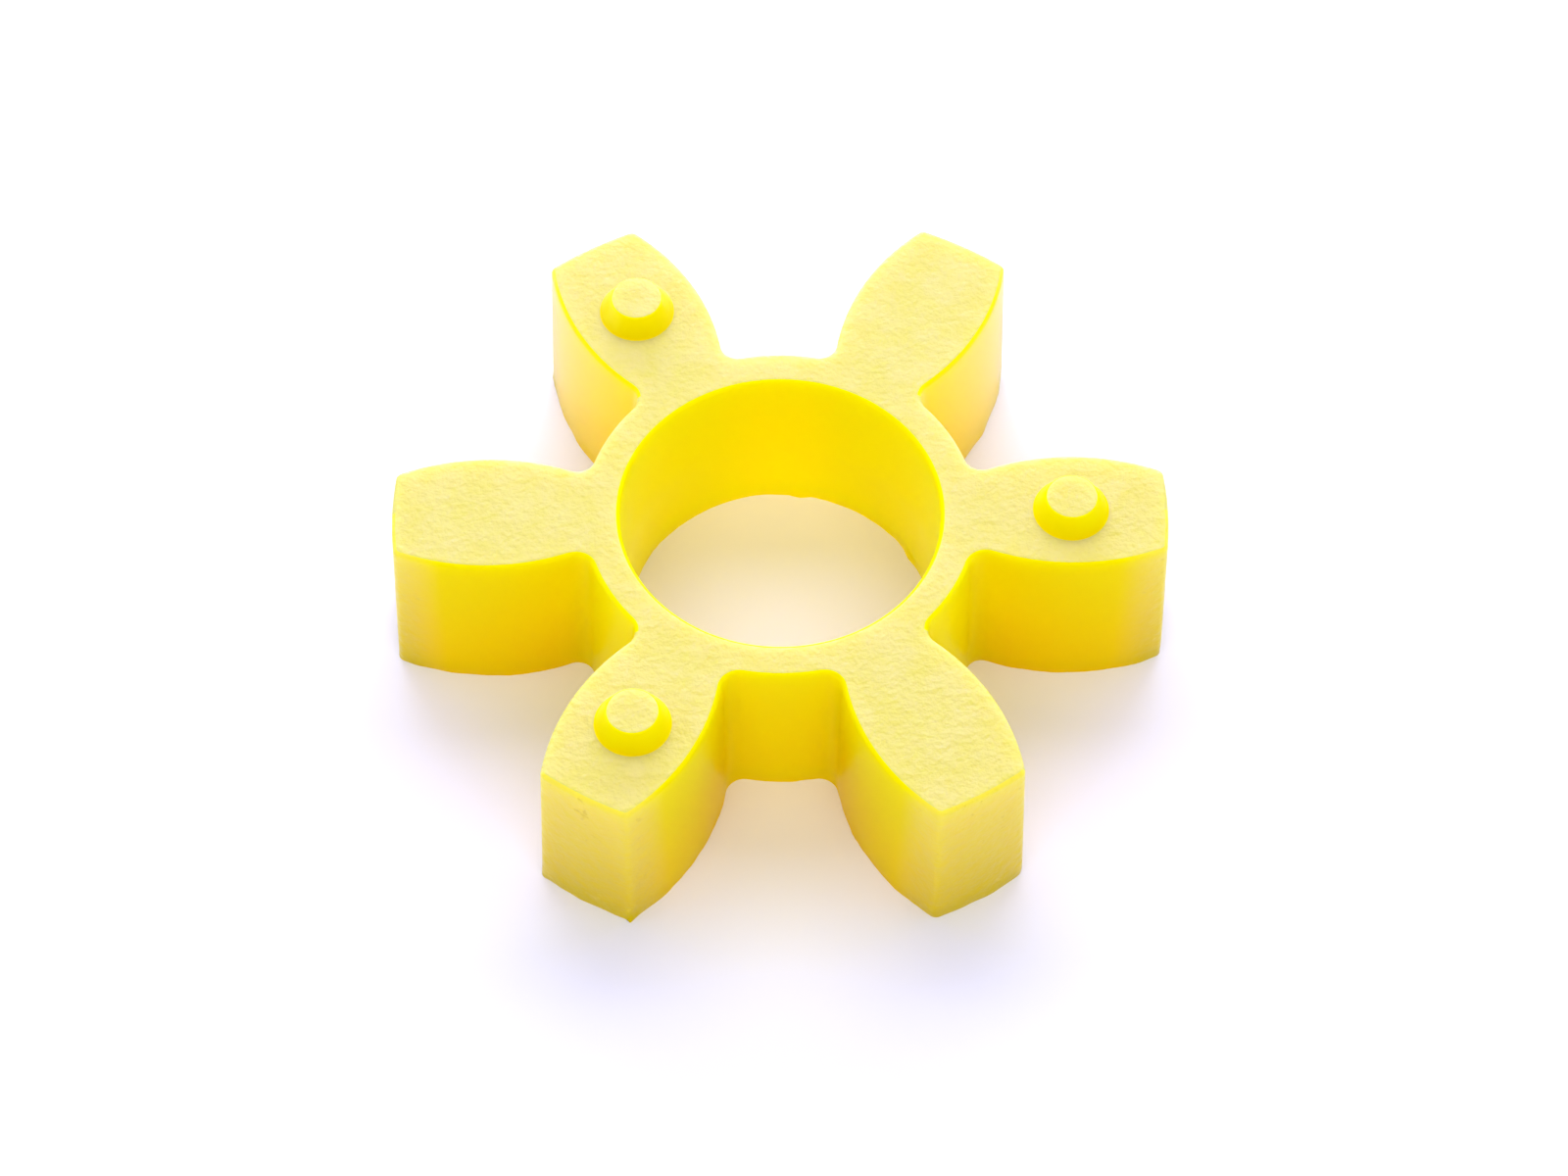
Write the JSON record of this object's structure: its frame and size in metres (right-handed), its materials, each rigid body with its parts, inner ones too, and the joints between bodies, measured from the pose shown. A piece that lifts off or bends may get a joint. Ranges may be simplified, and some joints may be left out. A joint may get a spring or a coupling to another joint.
{
  "type": "jaw coupling spider",
  "caption": "Elastic star insert for a shaft coupling: a ring with crowned radial arms that cushion the hubs' jaws, and small pips that hold a hub clear.",
  "frame": {"origin": "centre of the flat underside, on the bore axis", "axes": "+Z along the bore axis towards the pips, +X along the middle of an arm with a pip"},
  "size_m": [0.0756, 0.0698, 0.0202],
  "materials": {
    "polyurethane": "cast yellow polyurethane, satin, slightly translucent"
  },
  "bodies": {
    "root": {"spider": "polyurethane"}
  },
  "joints": []
}
